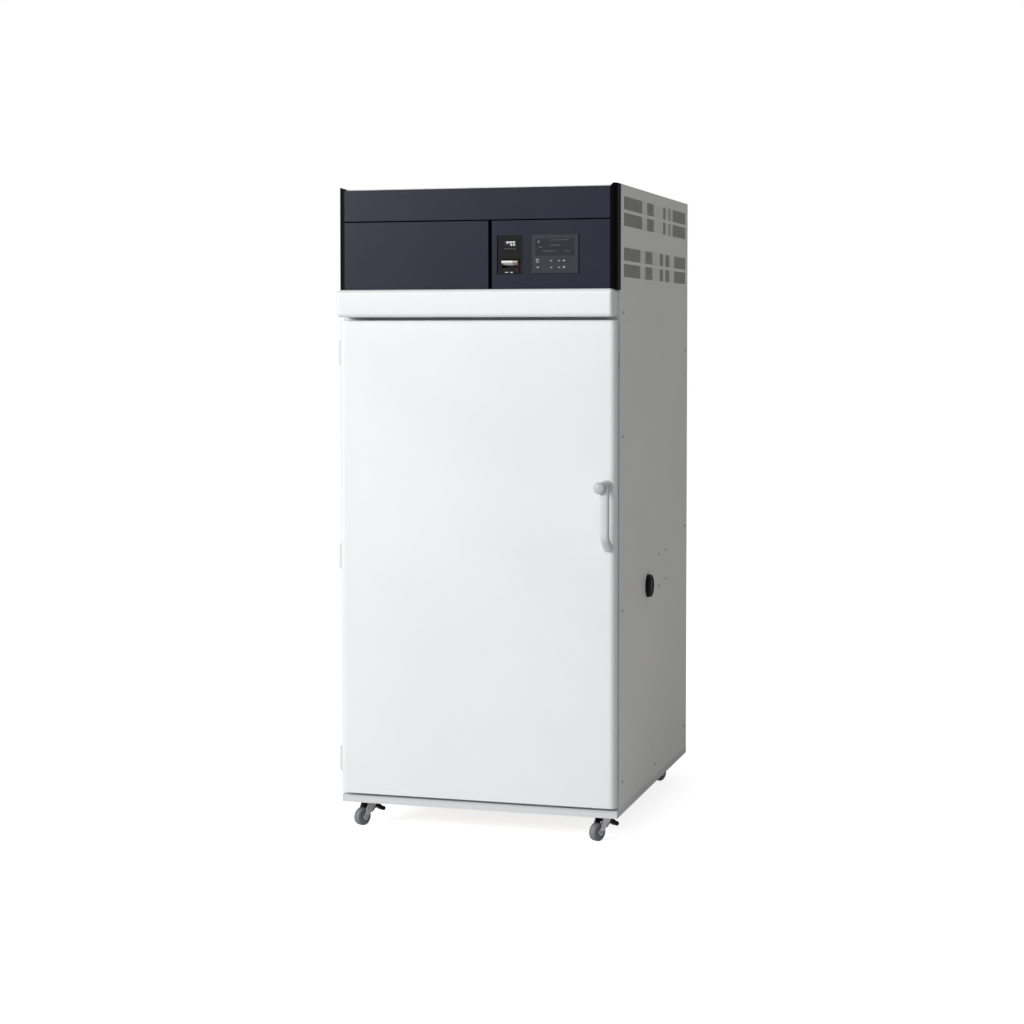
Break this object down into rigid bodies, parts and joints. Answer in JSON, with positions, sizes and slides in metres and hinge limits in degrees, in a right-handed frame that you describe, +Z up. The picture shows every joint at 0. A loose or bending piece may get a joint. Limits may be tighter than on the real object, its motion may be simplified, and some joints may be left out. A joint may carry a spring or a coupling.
{
  "type": "cleanroom oven",
  "caption": "Free-standing cleanroom oven: tall insulated cabinet on swivel castors with a full-height hinged door, dark control fascia, filtered air circulation and rear exhaust spigot.",
  "frame": {"origin": "on the floor, centred under the bounding box", "axes": "+Z up, -Y out of the front door, +X to the right seen from the front"},
  "size_m": [0.825, 1.1604, 1.81],
  "materials": {
    "door_white": "satin",
    "cabinet_white": "satin",
    "fascia_dark": "semi-gloss",
    "black_plastic": "matt",
    "stainless": "brushed",
    "zinc": "dull",
    "base_white": "satin",
    "mineral_wool": "matt",
    "filter_paper": "matt",
    "silicone": "matt",
    "grip_grey": "satin",
    "unit_dark": "satin",
    "key_grey": "matt",
    "toggle_white": "satin",
    "button_red": "satin",
    "motor_grey": "painted",
    "board_green": "satin",
    "caster_steel": "bright",
    "wheel_grey": "matt"
  },
  "bodies": {
    "cabinet": {"base_frame": "base_white", "front_frame": "cabinet_white", "chamber_liner": "stainless", "wall_insulation": "mineral_wool", "left_side_panel": "cabinet_white", "right_side_panel": "cabinet_white", "rear_panel": "cabinet_white", "visor": "door_white", "fascia_posts": "black_plastic", "fascia_strip": "fascia_dark", "blank_panel": "fascia_dark", "control_panel": "fascia_dark", "fascia_backplate": "zinc", "switch_plate": "black_plastic", "switch_modules": "black_plastic", "control_unit": "unit_dark", "instrument_tray": "zinc", "top_cover": "cabinet_white", "left_vent_panel": "cabinet_white", "right_vent_panel": "cabinet_white", "control_electronics": "board_green", "rear_diffuser": "stainless", "return_plate": "stainless", "air_filter": "filter_paper", "heater_rods": "stainless", "fan_motor": "motor_grey", "exhaust_duct": "stainless", "cable_gland": "black_plastic", "port_sleeve": "black_plastic", "shelf_supports": "stainless", "shelves": "stainless", "hinge_cabinet_leaves": "stainless", "door_keepers": "stainless", "caster_mounts": "caster_steel"},
    "door": {"door_skin": "door_white", "door_inner_panel": "stainless", "door_insulation": "mineral_wool", "door_gasket": "silicone", "hinge_door_leaves": "stainless", "handle_grip": "grip_grey"},
    "latch": {"latch_knob": "grip_grey"},
    "fan": {"fan_impeller": "stainless"},
    "damper": {"exhaust_damper": "stainless"},
    "toggle": {"breaker_toggle": "toggle_white"},
    "test_button": {"test_button": "button_red"},
    "power_key": {"power_key": "key_grey"},
    "run_key": {"run_key": "key_grey"},
    "up_key": {"up_key": "key_grey"},
    "down_key": {"down_key": "key_grey"},
    "port_plug": {"port_plug": "black_plastic"},
    "fork_front_left": {"caster_fork_front_left": "caster_steel"},
    "wheel_front_left": {"caster_wheel_front_left": "wheel_grey"},
    "pedal_front_left": {"brake_pedal_front_left": "black_plastic"},
    "fork_front_right": {"caster_fork_front_right": "caster_steel"},
    "wheel_front_right": {"caster_wheel_front_right": "wheel_grey"},
    "pedal_front_right": {"brake_pedal_front_right": "black_plastic"},
    "fork_rear_left": {"caster_fork_rear_left": "caster_steel"},
    "wheel_rear_left": {"caster_wheel_rear_left": "wheel_grey"},
    "fork_rear_right": {"caster_fork_rear_right": "caster_steel"},
    "wheel_rear_right": {"caster_wheel_rear_right": "wheel_grey"}
  },
  "joints": [
    {"name": "door_hinge", "type": "hinge", "parent": "cabinet", "child": "door", "pos_m": [-0.4065, -0.47385, 0.774], "axis": [0, 0, -1], "range_deg": [0, 165]},
    {"name": "latch_turn", "type": "hinge", "parent": "door", "child": "latch", "pos_m": [0.368, -0.52985, 0.987], "axis": [0, 1, 0], "range_deg": [0, 90]},
    {"name": "fan_spin", "type": "hinge", "parent": "cabinet", "child": "fan", "pos_m": [0, 0.23015, 0.332], "axis": [0, 1, 0], "continuous": true},
    {"name": "damper_turn", "type": "hinge", "parent": "cabinet", "child": "damper", "pos_m": [-0.2, 0.50415, 1.67], "axis": [0, 0, 1], "range_deg": [0, 90]},
    {"name": "toggle_swing", "type": "hinge", "parent": "cabinet", "child": "toggle", "pos_m": [0.1005, -0.49565, 1.594], "axis": [1, 0, 0], "range_deg": [0, 34]},
    {"name": "test_button_press", "type": "slide", "parent": "cabinet", "child": "test_button", "axis": [0, 1, 0], "range_m": [0, 0.0015], "stiffness_N_per_m": 300},
    {"name": "power_key_press", "type": "slide", "parent": "cabinet", "child": "power_key", "axis": [0, 1, 0], "range_m": [0, 0.0008], "stiffness_N_per_m": 300},
    {"name": "run_key_press", "type": "slide", "parent": "cabinet", "child": "run_key", "axis": [0, 1, 0], "range_m": [0, 0.0008], "stiffness_N_per_m": 300},
    {"name": "up_key_press", "type": "slide", "parent": "cabinet", "child": "up_key", "axis": [0, 1, 0], "range_m": [0, 0.0008], "stiffness_N_per_m": 300},
    {"name": "down_key_press", "type": "slide", "parent": "cabinet", "child": "down_key", "axis": [0, 1, 0], "range_m": [0, 0.0008], "stiffness_N_per_m": 300},
    {"name": "port_plug_pull", "type": "slide", "parent": "cabinet", "child": "port_plug", "axis": [1, 0, 0], "range_m": [0, 0.11]},
    {"name": "swivel_front_left", "type": "hinge", "parent": "cabinet", "child": "fork_front_left", "pos_m": [-0.345, -0.42085, 0.065], "axis": [0, 0, 1], "continuous": true},
    {"name": "roll_front_left", "type": "hinge", "parent": "fork_front_left", "child": "wheel_front_left", "pos_m": [-0.3568, -0.44402, 0.025], "axis": [-0.891, 0.454, 0], "continuous": true},
    {"name": "brake_front_left", "type": "hinge", "parent": "fork_front_left", "child": "pedal_front_left", "pos_m": [-0.33774, -0.40659, 0.0567], "axis": [-0.891, 0.454, 0], "range_deg": [0, 12]},
    {"name": "swivel_front_right", "type": "hinge", "parent": "cabinet", "child": "fork_front_right", "pos_m": [0.345, -0.42085, 0.065], "axis": [0, 0, 1], "continuous": true},
    {"name": "roll_front_right", "type": "hinge", "parent": "fork_front_right", "child": "wheel_front_right", "pos_m": [0.3332, -0.44402, 0.025], "axis": [-0.891, 0.454, 0], "continuous": true},
    {"name": "brake_front_right", "type": "hinge", "parent": "fork_front_right", "child": "pedal_front_right", "pos_m": [0.35226, -0.40659, 0.0567], "axis": [-0.891, 0.454, 0], "range_deg": [0, 12]},
    {"name": "swivel_rear_left", "type": "hinge", "parent": "cabinet", "child": "fork_rear_left", "pos_m": [-0.345, 0.40015, 0.065], "axis": [0, 0, 1], "continuous": true},
    {"name": "roll_rear_left", "type": "hinge", "parent": "fork_rear_left", "child": "wheel_rear_left", "pos_m": [-0.3568, 0.37698, 0.025], "axis": [-0.891, 0.454, 0], "continuous": true},
    {"name": "swivel_rear_right", "type": "hinge", "parent": "cabinet", "child": "fork_rear_right", "pos_m": [0.345, 0.40015, 0.065], "axis": [0, 0, 1], "continuous": true},
    {"name": "roll_rear_right", "type": "hinge", "parent": "fork_rear_right", "child": "wheel_rear_right", "pos_m": [0.3332, 0.37698, 0.025], "axis": [-0.891, 0.454, 0], "continuous": true}
  ]
}
